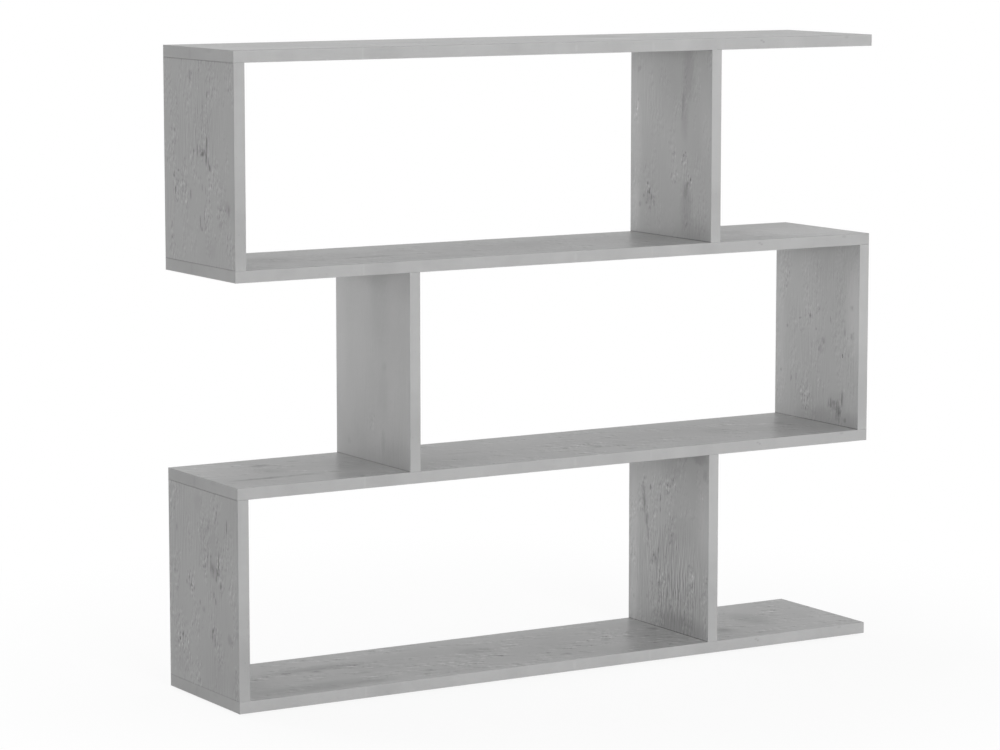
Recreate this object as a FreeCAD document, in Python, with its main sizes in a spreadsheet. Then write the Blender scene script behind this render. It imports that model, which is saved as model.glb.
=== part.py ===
import FreeCAD
import Part
import Sketcher
import os

# Zigzag bookshelf of faced chipboard: four full-width shelves and six uprights that change sides from tier to tier.
# X runs along the shelves, Y from front to back and Z up. The origin is on the floor, midway along and across.
# The boards are edged with glued bands and held together by cam locks, cam bolts and dowels.

SIZES = {
    # boards
    "shelf_length": 1140,
    "shelf_depth": 230,
    "board_thickness": 18,
    "clear_height": 300,
    "overhang": 290,
    # edge bands
    "band_thickness": 1,
    # where the fasteners of an upright's end stand: from the board's long edge, and from the cam bolt to the dowel
    "cam_edge_distance": 37,
    "cam_dowel_spacing": 32,
    # cam lock, in a bore that leaves a floor in the upright
    "cam_setback": 34,
    "cam_bore_diameter": 15,
    "cam_bore_floor": 4.5,
    "cam_clearance": 0.1,
    "cam_wall": 0.9,
    "driver_slot_length": 8,
    "driver_slot_width": 1.8,
    "driver_slot_depth": 2.4,
    # cam bolt, from its thread in the shelf to its head in the cam lock
    "bolt_thread_diameter": 5,
    "bolt_thread_length": 11,
    "bolt_shank_diameter": 7,
    "bolt_neck_diameter": 4.4,
    "bolt_head_diameter": 6.8,
    "bolt_head_length": 2.8,
    "shank_clearance": 0.5,
    "head_clearance": 0.4,
    # fluted dowel
    "dowel_diameter": 8,
    "dowel_length": 30,
    "dowel_shelf_depth": 10,
    "dowel_flute_depth": 0.35,
    # room in a bore: all round its fastener, and past its end
    "bore_clearance": 0.05,
    "bore_end_clearance": 0.5,
    # cover cap, which overlaps the cam lock's bore and plugs into its driver slots
    "cap_lip": 1,
    "cap_thickness": 1.2,
    "cap_rim_bevel": 1.4,
    "cap_plug_clearance": 0.1,
    # floor glide moulded round the head of its nail
    "glide_diameter": 20,
    "glide_height": 3,
    "glide_bevel": 1.2,
    "glide_end_distance": 60,
    "glide_edge_distance": 35,
    "nail_diameter": 2.2,
    "nail_length": 12,
    "nail_tip_length": 3,
    "nail_head_diameter": 6,
    # how far a cut runs past the piece that it cuts
    "overrun": 1,
}

BAND_ROUNDING_SHARE = 0.8  # radius of a band's outer edges, of its thickness
CAP_RIM_SHARE = 0.5  # thickness of a cover cap's rim, of the cap's
NAIL_HEAD_SHARES = (0.4, 0.65)  # underside and top of a nail's head in its glide, of the glide's height
DOWEL_FLUTES = 12

# turn of the cam lock's neck slot, in degrees: from the locked bolt to the entry notch, and past the bolt
SLOT_TO_ENTRY = 165
SLOT_PAST_BOLT = 80

doc = FreeCAD.newDocument("zigzag_bookshelf")
sheet = doc.addObject("Spreadsheet::Sheet", "size")
for row, (alias, length) in enumerate(SIZES.items(), start=1):
    sheet.set(f"A{row}", alias)
    sheet.set(f"B{row}", str(length))
    sheet.setAlias(f"B{row}", alias)
doc.recompute()

nodes = []

# places that several pieces share, as expressions on the sheet
HALF_BOARD = "size.board_thickness / 2"
HALF_LENGTH = "size.shelf_length / 2"
HALF_DEPTH = "size.shelf_depth / 2"
TIER_PITCH = "(size.clear_height + size.board_thickness)"
CORE_DEPTH = "size.shelf_depth - 2 * size.band_thickness"
CAM_REACH = "size.shelf_depth / 2 - size.cam_edge_distance"
DOWEL_REACH = f"{CAM_REACH} - size.cam_dowel_spacing"
DOWEL_BORE = "size.dowel_diameter + 2 * size.bore_clearance"
CAM_BORE_DEPTH = "(size.board_thickness - size.cam_bore_floor)"
CAM_HEIGHT = f"({CAM_BORE_DEPTH} - size.bore_end_clearance)"

# each tier's two uprights, with the middle of the board along X
LEFT_END = f"-{HALF_LENGTH} + {HALF_BOARD}"
RIGHT_END = f"{HALF_LENGTH} - {HALF_BOARD}"
LEFT_INSET = f"{LEFT_END} + size.overhang"
RIGHT_INSET = f"{RIGHT_END} - size.overhang"
TIERS = [
    ("bottom", [("bottom_left_side", LEFT_END), ("bottom_right_divider", RIGHT_INSET)]),
    ("middle", [("middle_left_divider", LEFT_INSET), ("middle_right_side", RIGHT_END)]),
    ("top", [("top_left_side", LEFT_END), ("top_right_divider", RIGHT_INSET)]),
]
SHELVES = ["bottom_shelf", "lower_shelf", "upper_shelf", "top_shelf"]

X_AXIS = FreeCAD.Vector(1, 0, 0)
Y_AXIS = FreeCAD.Vector(0, 1, 0)
Z_AXIS = FreeCAD.Vector(0, 0, 1)
UNTURNED = FreeCAD.Rotation()
HALF_TURN = FreeCAD.Rotation(Z_AXIS, 180)
UPSIDE_DOWN = FreeCAD.Rotation(X_AXIS, 180)
FACING_RIGHT = FreeCAD.Rotation(Y_AXIS, 90)


def value(expression):
    return float(sheet.evalExpression(expression))


def place(item, rotation, x="0", y="0", z="0"):
    item.Placement = FreeCAD.Placement(FreeCAD.Vector(), rotation)
    for axis, expression in zip("xyz", (x, y, z)):
        item.setExpression(f"Placement.Base.{axis}", expression)


def new_body(label):
    body = doc.addObject("PartDesign::Body", label)
    body.Label = label
    return body


def new_sketch(body, name, plane, lift="0"):
    sketch = body.newObject("Sketcher::SketchObject", f"{body.Name}_{name}")
    support = next(item for item in body.Origin.OriginFeatures if item.Role == plane)
    sketch.AttachmentSupport = [(support, "")]
    sketch.MapMode = "FlatFace"
    sketch.setExpression("AttachmentOffset.Base.z", lift)
    return sketch


def bind(sketch, expression, kind, *points):
    index = sketch.addConstraint(Sketcher.Constraint(kind, *points, value(expression)))
    sketch.setExpression(f"Constraints[{index}]", expression)


def bind_point(sketch, geometry, point, across, up):
    bind(sketch, across, "DistanceX", -1, 1, geometry, point)
    bind(sketch, up, "DistanceY", -1, 1, geometry, point)


def outline(sketch, corners):
    points = [FreeCAD.Vector(value(across), value(up), 0) for across, up in corners]
    for index, point in enumerate(points):
        following = points[(index + 1) % len(points)]
        sketch.addGeometry(Part.LineSegment(point, following), False)
    for index, (across, up) in enumerate(corners):
        previous = (index - 1) % len(corners)
        sketch.addConstraint(Sketcher.Constraint("Coincident", previous, 2, index, 1))
        bind_point(sketch, index, 1, across, up)


def rectangle(sketch, width, height, middle_across="0", middle_up="0"):
    left, right = [f"{middle_across} {sign} ({width}) / 2" for sign in "-+"]
    low, high = [f"{middle_up} {sign} ({height}) / 2" for sign in "-+"]
    outline(sketch, [(left, low), (right, low), (right, high), (left, high)])


def circles(sketch, diameter, centres):
    for across, up in centres:
        centre = FreeCAD.Vector(value(across), value(up), 0)
        index = sketch.addGeometry(Part.Circle(centre, Z_AXIS, value(diameter) / 2), False)
        bind_point(sketch, index, 3, across, up)
        bind(sketch, diameter, "Diameter", index)


def extrude(kind, sketch, length, reverse=False, symmetric=False):
    body = sketch.getParentGeoFeatureGroup()
    feature = body.newObject(f"PartDesign::{kind}", f"{sketch.Name}_{kind.lower()}")
    feature.Profile = sketch
    feature.Reversed = reverse
    feature.SideType = "Symmetric" if symmetric else "One side"
    feature.setExpression("Length", length)
    return feature


def turn(kind, sketch):
    body = sketch.getParentGeoFeatureGroup()
    feature = body.newObject(f"PartDesign::{kind}", f"{sketch.Name}_{kind.lower()}")
    feature.Profile = sketch
    feature.ReferenceAxis = (sketch, ["V_Axis"])
    return feature


def mirrored_ends(reach):
    return [f"-({reach})", reach]


def shelf_middle(level):
    return f"size.glide_height + {HALF_BOARD} + {level} * {TIER_PITCH}"


def upright_middle(tier):
    return f"{shelf_middle(tier)} + {TIER_PITCH} / 2"


def glide_places():
    end = f"{HALF_LENGTH} - size.glide_end_distance"
    edge = f"{HALF_DEPTH} - size.glide_edge_distance"
    return [(x, y) for x in (f"-({end})", "0", end) for y in mirrored_ends(edge)]


def add_shelf(level, label):
    body = new_body(label)
    board = new_sketch(body, "board", "XY_Plane")
    rectangle(board, "size.shelf_length - 2 * size.band_thickness", CORE_DEPTH)
    extrude("Pad", board, "size.board_thickness", symmetric=True)
    faces = [("under", level - 1, f"-{HALF_BOARD}", True), ("over", level, HALF_BOARD, False)]
    for face, tier, lift, upward in faces:
        if tier not in range(len(TIERS)):
            continue
        middles = [middle for _, middle in TIERS[tier][1]]
        bolts = new_sketch(body, f"bolts_{face}", "XY_Plane", lift)
        bolt_bore = "size.bolt_thread_diameter + 2 * size.bore_clearance"
        circles(bolts, bolt_bore, [(x, y) for x in middles for y in mirrored_ends(CAM_REACH)])
        extrude("Pocket", bolts, "size.bolt_thread_length + size.bore_end_clearance", reverse=upward)
        dowels = new_sketch(body, f"dowels_{face}", "XY_Plane", lift)
        circles(dowels, DOWEL_BORE, [(x, y) for x in middles for y in mirrored_ends(DOWEL_REACH)])
        extrude("Pocket", dowels, "size.dowel_shelf_depth + size.bore_end_clearance", reverse=upward)
    if level == 0:
        nails = new_sketch(body, "nails", "XY_Plane", f"-{HALF_BOARD}")
        circles(nails, "size.nail_diameter + 2 * size.bore_clearance", glide_places())
        extrude("Pocket", nails, "size.nail_length + size.bore_end_clearance", reverse=True)
    place(body, UNTURNED, z=shelf_middle(level))
    nodes.append(body)


def add_upright(tier, label, middle):
    body = new_body(label)
    board = new_sketch(body, "board", "XY_Plane")
    rectangle(board, "size.board_thickness", CORE_DEPTH)
    extrude("Pad", board, "size.clear_height", symmetric=True)
    half_height = "size.clear_height / 2"
    cams = new_sketch(body, "cams", "YZ_Plane", HALF_BOARD)
    cam_heights = mirrored_ends(f"{half_height} - size.cam_setback")
    circles(cams, "size.cam_bore_diameter", [(y, z) for y in mirrored_ends(CAM_REACH) for z in cam_heights])
    extrude("Pocket", cams, CAM_BORE_DEPTH)
    for end, lift, upward in (("low", f"-{half_height}", True), ("high", half_height, False)):
        bolts = new_sketch(body, f"bolts_{end}", "XY_Plane", lift)
        bolt_bore = "size.bolt_shank_diameter + 2 * size.shank_clearance"
        circles(bolts, bolt_bore, [("0", y) for y in mirrored_ends(CAM_REACH)])
        extrude("Pocket", bolts, "size.cam_setback", reverse=upward)
        dowels = new_sketch(body, f"dowels_{end}", "XY_Plane", lift)
        circles(dowels, DOWEL_BORE, [("0", y) for y in mirrored_ends(DOWEL_REACH)])
        dowel_depth = "size.dowel_length - size.dowel_shelf_depth + size.bore_end_clearance"
        extrude("Pocket", dowels, dowel_depth, reverse=upward)
    place(body, UNTURNED, x=middle, z=upright_middle(tier))
    nodes.append(body)


def add_band(label, length, rounded_ends, rotation, x="0", y="0", z="0"):
    # the band lies along its own X axis, with its outer face towards -Y
    body = new_body(label)
    section = new_sketch(body, "section", "YZ_Plane")
    rectangle(section, "size.band_thickness", "size.board_thickness")
    strip = extrude("Pad", section, length, symmetric=True)
    doc.recompute()
    outer = -value("size.band_thickness") / 2
    edges = []
    for index, edge in enumerate(strip.Shape.Edges, start=1):
        on_outer_face = all(abs(vertex.Y - outer) < FreeCAD.Base.Precision.confusion() for vertex in edge.Vertexes)
        lengthwise = edge.Vertexes[0].X != edge.Vertexes[-1].X
        if on_outer_face and (lengthwise or rounded_ends):
            edges.append(f"Edge{index}")
    rounding = body.newObject("PartDesign::Fillet", f"{body.Name}_rounding")
    rounding.Base = (strip, edges)
    rounding.setExpression("Radius", f"size.band_thickness * {BAND_ROUNDING_SHARE}")
    place(body, rotation, x, y, z)
    nodes.append(body)


def add_shelf_bands(level, label):
    middle = shelf_middle(level)
    edge = f"{HALF_DEPTH} - size.band_thickness / 2"
    end = f"{HALF_LENGTH} - size.band_thickness / 2"
    add_band(f"{label}_front_band", "size.shelf_length", True, UNTURNED, y=f"-({edge})", z=middle)
    add_band(f"{label}_back_band", "size.shelf_length", True, HALF_TURN, y=edge, z=middle)
    for side, turned, x in (("left", -90, f"-({end})"), ("right", 90, end)):
        rotation = FreeCAD.Rotation(Z_AXIS, turned)
        add_band(f"{label}_{side}_band", CORE_DEPTH, False, rotation, x=x, z=middle)


def add_upright_bands(tier, label, middle):
    edge = f"{HALF_DEPTH} - size.band_thickness / 2"
    standing = FreeCAD.Rotation(Y_AXIS, -90)
    for side, turned, y in (("front", UNTURNED, f"-({edge})"), ("back", HALF_TURN, edge)):
        rotation = turned * standing
        add_band(f"{label}_{side}_band", "size.clear_height", False, rotation, middle, y, upright_middle(tier))


def make_cam_lock():
    # the face is at Z zero, looking along +Z, and the locked bolt comes in along X from the +X side;
    # the cavity is off centre, so its wall thickens from the entry notch to the place where it holds the bolt's head
    body = new_body("cam_lock")
    axis_depth = HALF_BOARD
    cam_radius = "(size.cam_bore_diameter / 2 - size.cam_clearance)"
    slot_reach = "(size.bolt_neck_diameter / 2 + size.head_clearance)"
    head_room = "(size.bolt_head_diameter / 2 + size.head_clearance)"
    holding_wall = f"(size.bolt_head_length / 2 + size.bolt_head_diameter / 2 - {slot_reach} + size.bore_clearance)"
    entry_wall = f"({cam_radius} - size.cam_wall)"
    crown = f"({axis_depth} - {head_room})"
    housing = new_sketch(body, "housing", "XY_Plane")
    circles(housing, f"2 * {cam_radius}", [("0", "0")])
    extrude("Pad", housing, CAM_HEIGHT, reverse=True)
    cavity = new_sketch(body, "cavity", "XY_Plane", f"-{CAM_HEIGHT}")
    circles(cavity, f"{entry_wall} + {holding_wall}", [(f"({holding_wall} - {entry_wall}) / 2", "0")])
    extrude("Pocket", cavity, f"{CAM_HEIGHT} - {crown}", reverse=True)
    entry = new_sketch(body, "entry", "YZ_Plane")
    entry_height = f"{CAM_HEIGHT} + size.overrun - {crown}"
    rectangle(entry, f"2 * {head_room}", entry_height, middle_up=f"-{crown} - ({entry_height}) / 2")
    extrude("Pocket", entry, f"{cam_radius} + size.overrun")
    slot = new_sketch(body, "slot", "XZ_Plane")
    inner = f"({holding_wall} - size.head_clearance)"
    outer = f"({cam_radius} + size.overrun)"
    rectangle(slot, f"{outer} - {inner}", f"2 * {slot_reach}", f"({outer} + {inner}) / 2", f"-{axis_depth}")
    groove = turn("Groove", slot)
    groove.Type = "TwoAngles"
    groove.Angle = SLOT_TO_ENTRY
    groove.Angle2 = SLOT_PAST_BOLT
    for name, sides in (("driver_across", ("length", "width")), ("driver_along", ("width", "length"))):
        driver = new_sketch(body, name, "XY_Plane")
        rectangle(driver, *[f"size.driver_slot_{side}" for side in sides])
        extrude("Pocket", driver, "size.driver_slot_depth")
    return body


def make_cam_bolt():
    # the shelf's face is at Z zero, with the thread below it and the head above
    body = new_body("cam_bolt")
    profile = new_sketch(body, "profile", "XZ_Plane")
    thread = "size.bolt_thread_diameter / 2"
    shank = "size.bolt_shank_diameter / 2"
    neck = "size.bolt_neck_diameter / 2"
    head = "size.bolt_head_diameter / 2"
    shoulder = "size.cam_setback - size.cam_bore_diameter / 2"
    head_low = "size.cam_setback - size.bolt_head_length / 2"
    head_high = "size.cam_setback + size.bolt_head_length / 2"
    outline(profile, [
        ("0", "-size.bolt_thread_length"),
        (thread, "-size.bolt_thread_length"),
        (thread, "0"),
        (shank, "0"),
        (shank, shoulder),
        (neck, shoulder),
        (neck, f"{head_low} - ({head} - {neck})"),
        (head, head_low),
        (head, head_high),
        ("0", head_high),
    ])
    turn("Revolution", profile)
    return body


def make_dowel():
    # the shelf's face is at Z zero, with the longer end above it
    body = new_body("dowel")
    section = new_sketch(body, "section", "XY_Plane", "-size.dowel_shelf_depth")
    crest = "size.dowel_diameter / 2"
    trough = f"({crest} - size.dowel_flute_depth)"
    step = 180 / DOWEL_FLUTES
    corners = []
    for flute in range(DOWEL_FLUTES):
        for radius, angle in ((crest, 2 * flute * step), (trough, (2 * flute + 1) * step)):
            corners.append((f"{radius} * cos({angle} deg)", f"{radius} * sin({angle} deg)"))
    outline(section, corners)
    extrude("Pad", section, "size.dowel_length")
    return body


def make_cover_cap():
    # the board's face is at Z zero, and the plug reaches down into the cam lock's driver slots
    body = new_body("cover_cap")
    profile = new_sketch(body, "profile", "XZ_Plane")
    radius = "size.cam_bore_diameter / 2 + size.cap_lip"
    outline(profile, [
        ("0", "0"),
        (radius, "0"),
        (radius, f"size.cap_thickness * {CAP_RIM_SHARE}"),
        (f"{radius} - size.cap_rim_bevel", "size.cap_thickness"),
        ("0", "size.cap_thickness"),
    ])
    turn("Revolution", profile)
    for name, sides in (("plug_across", ("length", "width")), ("plug_along", ("width", "length"))):
        plug = new_sketch(body, name, "XY_Plane")
        rectangle(plug, *[f"size.driver_slot_{side} - 2 * size.cap_plug_clearance" for side in sides])
        extrude("Pad", plug, "size.driver_slot_depth - size.bore_end_clearance", reverse=True)
    return body


def make_glide():
    # the floor is at Z zero, and the pad is moulded round the nail's head
    body = new_body("glide")
    profile = new_sketch(body, "profile", "XZ_Plane")
    radius = "size.glide_diameter / 2"
    shank = "size.nail_diameter / 2"
    head = "size.nail_head_diameter / 2"
    head_low, head_high = [f"size.glide_height * {share}" for share in NAIL_HEAD_SHARES]
    outline(profile, [
        ("0", "0"),
        (f"{radius} - size.glide_bevel", "0"),
        (radius, "size.glide_bevel"),
        (radius, "size.glide_height"),
        (shank, "size.glide_height"),
        (shank, head_high),
        (head, head_high),
        (head, head_low),
        ("0", head_low),
    ])
    turn("Revolution", profile)
    return body


def make_nail():
    # same place as the glide: the floor is at Z zero
    body = new_body("nail")
    profile = new_sketch(body, "profile", "XZ_Plane")
    shank = "size.nail_diameter / 2"
    head = "size.nail_head_diameter / 2"
    head_low, head_high = [f"size.glide_height * {share}" for share in NAIL_HEAD_SHARES]
    tip = "size.glide_height + size.nail_length"
    outline(profile, [
        ("0", head_low),
        (head, head_low),
        (head, head_high),
        (shank, head_high),
        (shank, f"{tip} - size.nail_tip_length"),
        ("0", tip),
    ])
    turn("Revolution", profile)
    return body


def add_group(label, piece, places):
    copies = []
    for index, (rotation, x, y, z) in enumerate(places):
        copy = doc.addObject("App::Link", f"{label}_{index}")
        copy.LinkedObject = piece
        place(copy, rotation, x, y, z)
        copies.append(copy)
    group = doc.addObject("Part::Compound", label)
    group.Label = label
    group.Links = copies
    nodes.append(group)


def joint_ends(tier):
    # the two meetings of an upright with its shelves: how a piece is turned, the shelf's face, and which way is in
    low = f"{upright_middle(tier)} - size.clear_height / 2"
    high = f"{upright_middle(tier)} + size.clear_height / 2"
    return [(UNTURNED, low, "+"), (UPSIDE_DOWN, high, "-")]


def add_tier_fasteners(tier, name, uprights):
    faces = []
    bolts = []
    dowels = []
    for _, middle in uprights:
        for rotation, face, inward in joint_ends(tier):
            for y in mirrored_ends(CAM_REACH):
                outside = f"{middle} + {HALF_BOARD}"
                faces.append((rotation * FACING_RIGHT, outside, y, f"{face} {inward} size.cam_setback"))
                bolts.append((rotation, middle, y, face))
            for y in mirrored_ends(DOWEL_REACH):
                dowels.append((rotation, middle, y, face))
    add_group(f"{name}_tier_cam_locks", cam_lock, faces)
    add_group(f"{name}_tier_cam_bolts", cam_bolt, bolts)
    add_group(f"{name}_tier_dowels", dowel, dowels)
    add_group(f"{name}_tier_cover_caps", cover_cap, faces)


for level, label in enumerate(SHELVES):
    add_shelf(level, label)
    add_shelf_bands(level, label)

for tier, (name, uprights) in enumerate(TIERS):
    for label, middle in uprights:
        add_upright(tier, label, middle)
        add_upright_bands(tier, label, middle)

cam_lock = make_cam_lock()
cam_bolt = make_cam_bolt()
dowel = make_dowel()
cover_cap = make_cover_cap()
for tier, (name, uprights) in enumerate(TIERS):
    add_tier_fasteners(tier, name, uprights)

standing_places = [(UNTURNED, x, y, "0") for x, y in glide_places()]
add_group("floor_glides", make_glide(), standing_places)
add_group("glide_nails", make_nail(), standing_places)

doc.recompute()

for item in doc.Objects:
    if "Invalid" in item.State or "Error" in item.State:
        raise RuntimeError(f"{item.Label} failed: {item.State}")
    if item.TypeId in ("PartDesign::Pocket", "PartDesign::Groove"):
        removed = item.BaseFeature.Shape.Volume - item.Shape.Volume
        if removed <= 0:
            raise RuntimeError(f"{item.Label} cuts nothing")

for node in nodes:
    if node.Shape.isNull() or not node.Shape.isValid():
        raise RuntimeError(f"{node.Label} has no valid shape")

os.makedirs("parts", exist_ok=True)
for node in nodes:
    node.Shape.exportStep(f"parts/{node.Label}.step")
    box = node.Shape.BoundBox
    print(f"{node.Label}: {len(node.Shape.Solids)} solids, {box.XLength:.1f} x {box.YLength:.1f} x {box.ZLength:.1f}")
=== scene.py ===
from math import cos, pi, radians, sin

import bpy
from mathutils import Matrix, Vector


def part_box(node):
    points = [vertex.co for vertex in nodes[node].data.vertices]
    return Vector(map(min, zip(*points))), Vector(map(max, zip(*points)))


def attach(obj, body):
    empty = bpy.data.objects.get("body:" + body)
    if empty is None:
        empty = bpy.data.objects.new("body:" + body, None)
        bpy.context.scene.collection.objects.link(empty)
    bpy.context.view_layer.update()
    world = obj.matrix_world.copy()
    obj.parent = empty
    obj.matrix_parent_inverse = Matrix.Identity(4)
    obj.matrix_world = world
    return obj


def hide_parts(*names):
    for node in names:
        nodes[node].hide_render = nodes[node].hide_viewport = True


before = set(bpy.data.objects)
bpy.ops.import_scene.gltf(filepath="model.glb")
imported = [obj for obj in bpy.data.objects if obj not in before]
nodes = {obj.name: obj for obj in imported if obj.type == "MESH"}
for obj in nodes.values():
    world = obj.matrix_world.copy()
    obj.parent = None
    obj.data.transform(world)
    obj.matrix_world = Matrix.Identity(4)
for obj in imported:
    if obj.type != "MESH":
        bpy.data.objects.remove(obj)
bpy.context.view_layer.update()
scene = bpy.context.scene
mm = 0.001
print("frame loaded,", len(nodes), "nodes")


# camera, at the photograph's angle
photoView = {
    "imageWidth": 1000,
    "focalPixels": 3605.3,
    "sensor": 36.0,
    "place": (-2.92495, -4.74454, 1.19851),
    "yaw": 0.5442,  # turned from +Y towards +X
    "pitch": 0.1329,  # looking down
}


def viewAxes(view):
    yaw, pitch = view["yaw"], view["pitch"]
    right = Vector((cos(yaw), -sin(yaw), 0))
    ahead = Vector((sin(yaw) * cos(pitch), cos(yaw) * cos(pitch), -sin(pitch)))
    return right, right.cross(ahead), ahead


def addCamera(view):
    data = bpy.data.cameras.new("photoCamera")
    data.sensor_width = view["sensor"]
    data.lens = view["focalPixels"] / view["imageWidth"] * view["sensor"]
    camera = bpy.data.objects.new("photoCamera", data)
    right, up, ahead = viewAxes(view)
    facing = Matrix((right, up, -ahead)).transposed().to_4x4()
    camera.matrix_world = Matrix.Translation(view["place"]) @ facing
    scene.collection.objects.link(camera)
    scene.camera = camera


addCamera(photoView)
print("camera placed")


class Wire:  # a node's socket, so that maths on it reads as Python
    def __init__(self, tree, socket=None):
        self.tree = tree
        self.socket = socket

    def node(self, kind, settings=None, sockets=None, out=0):
        made = self.tree.nodes.new(kind)
        for name, value in (settings or {}).items():
            setattr(made, name, value)
        for name, value in (sockets or {}).items():
            if isinstance(value, Wire):
                self.tree.links.new(value.socket, made.inputs[name])
            else:
                made.inputs[name].default_value = value
        return Wire(self.tree, made.outputs[out])

    def maths(self, operation, first, second=0.0):
        return self.node("ShaderNodeMath", {"operation": operation}, {0: first, 1: second})

    def __add__(self, other):
        return self.maths("ADD", self, other)

    __radd__ = __add__

    def __sub__(self, other):
        return self.maths("SUBTRACT", self, other)

    def __rsub__(self, other):
        return self.maths("SUBTRACT", other, self)

    def __mul__(self, other):
        return self.maths("MULTIPLY", self, other)

    __rmul__ = __mul__

    def __truediv__(self, other):
        return self.maths("DIVIDE", self, other)

    def __rtruediv__(self, other):
        return self.maths("DIVIDE", other, self)

    def __pow__(self, other):
        return self.maths("POWER", self, other)

    def __abs__(self):
        return self.maths("ABSOLUTE", self)


def shifted(place, by):
    return place.node("ShaderNodeVectorMath", {"operation": "ADD"}, {0: place, 1: by})


def scaled(place, by):
    return place.node("ShaderNodeVectorMath", {"operation": "MULTIPLY"}, {0: place, 1: by})


def turned(place, by):
    return place.node("ShaderNodeMapping", {"vector_type": "POINT"}, {"Vector": place, "Rotation": by})


def separate(place, axis):
    return place.node("ShaderNodeSeparateXYZ", None, {0: place}, axis)


def noise(place, scale, detail=2.0, roughness=0.5, out="Fac"):  # scale per metre, on each axis
    sockets = {"Vector": scaled(place, scale), "Scale": 1.0, "Detail": detail, "Roughness": roughness}
    return place.node("ShaderNodeTexNoise", None, sockets, out)


def ease(value, low, high):  # 0 below low, 1 above high
    sockets = {"Value": value, "From Min": low, "From Max": high}
    return value.node("ShaderNodeMapRange", {"interpolation_type": "SMOOTHSTEP"}, sockets)


softEdge = 0.75  # share of a mark's half size that its soft edge takes up


def spot(place, centre, size):  # soft-edged mark, 1 in its middle
    sockets = {"Vector": place, "Location": centre, "Scale": size}
    local = place.node("ShaderNodeMapping", {"vector_type": "TEXTURE"}, sockets)
    ball = local.node("ShaderNodeTexGradient", {"gradient_type": "SPHERICAL"}, {"Vector": local}, "Fac")
    return ease(ball, 0.0, softEdge)


def blendColours(factor, dark, pale):
    sockets = {0: factor, 6: (*dark, 1), 7: (*pale, 1)}
    return factor.node("ShaderNodeMix", {"data_type": "RGBA"}, sockets, 2)


def bump(height, strength, distance):
    return height.node("ShaderNodeBump", None, {"Height": height, "Strength": strength, "Distance": distance})


def newFinish(name):  # a material with its shader still to be fed, and a wire to start from
    material = bpy.data.materials.new(name)
    material.use_nodes = True
    tree = material.node_tree
    shader = next(node for node in tree.nodes if node.type == "BSDF_PRINCIPLED")
    start = Wire(tree).node("ShaderNodeTexCoord", None, None, "Object")
    return material, shader, start


def feed(shader, sockets):  # links or constants straight onto the shader
    for name, value in sockets.items():
        if isinstance(value, Wire):
            value.tree.links.new(value.socket, shader.inputs[name])
        else:
            shader.inputs[name].default_value = value


def dress(name, material):  # the CAD node keeps its shape and takes this finish
    mesh = nodes[name].data
    if not mesh.materials:
        mesh.materials.append(material)
    for index in range(len(mesh.materials)):
        mesh.materials[index] = material


# studio: even soft light, brightest from the front, and white behind
studio = {
    "floorSize": 40.0,
    "floorColour": (0.90, 0.90, 0.90),
    "floorMottle": (0.891, 0.891, 0.891),
    "mottleScale": (1.5, 1.5, 1.5),  # per metre
    "mottleDetail": 3.0,
    "floorRoughness": 0.9,
    "floorWhite": 0.90,  # share of plain white that the camera sees in the floor
    "whiteFrom": 0.5,  # and between these distances, in metres, the floor turns all white
    "whiteTo": 1.2,
    "roomLevel": 0.15,
    "aim": (0.0, 0.0, 0.5),
    "lamps": {  # place, size in metres, power in watts
        "frontLamp": ((-1.0, -5.2, 1.28), 1.6, 222.0),
        "sideLamp": ((-4.0, 3.0, 0.9), 1.6, 50.0),
        "backLeftLamp": ((-2.6, 4.4, 0.9), 1.6, 38.0),
        "rightLamp": ((5.0, 0.5, 1.2), 2.2, 100.0),
        "backLamp": ((0.6, 5.0, 1.2), 2.2, 20.0),
        "highLamp": ((-1.0, 3.6, 3.6), 2.6, 74.0),
        "topLamp": ((0.0, -0.2, 4.6), 3.0, 45.0),
    },
}


def seenDirectly(start):  # camera, mirror and glass rays
    rays = ("Is Camera Ray", "Is Glossy Ray", "Is Transmission Ray")
    camera, mirror, glass = [start.node("ShaderNodeLightPath", None, None, ray) for ray in rays]
    return camera.maths("MAXIMUM", camera, camera.maths("MAXIMUM", mirror, glass))


def joinShaders(share, first, second, outlet):
    mixed = share.node("ShaderNodeMixShader", None, {0: share, 1: first, 2: second})
    share.tree.links.new(mixed.socket, outlet.inputs["Surface"])


def addFloor(room):
    half = room["floorSize"] / 2
    corners = [(-half, -half, 0), (half, -half, 0), (half, half, 0), (-half, half, 0)]
    mesh = bpy.data.meshes.new("paleFloor")
    mesh.from_pydata(corners, [], [(0, 1, 2, 3)])
    floor = bpy.data.objects.new("paleFloor", mesh)
    scene.collection.objects.link(floor)
    material, shader, start = newFinish("paleFloor")
    mottle = noise(start, room["mottleScale"], room["mottleDetail"])
    tint = blendColours(mottle, room["floorMottle"], room["floorColour"])
    feed(shader, {"Base Color": tint, "Roughness": room["floorRoughness"], "Specular IOR Level": 0.0})
    white = start.node("ShaderNodeEmission", None, {"Color": (1, 1, 1, 1), "Strength": 1.0})
    outlet = next(node for node in start.tree.nodes if node.type == "OUTPUT_MATERIAL")
    reach = start.node("ShaderNodeVectorMath", {"operation": "LENGTH"}, {0: start}, "Value")
    share = ease(reach, room["whiteFrom"], room["whiteTo"]) * (1 - room["floorWhite"]) + room["floorWhite"]
    joinShaders(seenDirectly(start) * share, Wire(start.tree, shader.outputs[0]), white, outlet)
    mesh.materials.append(material)


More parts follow.
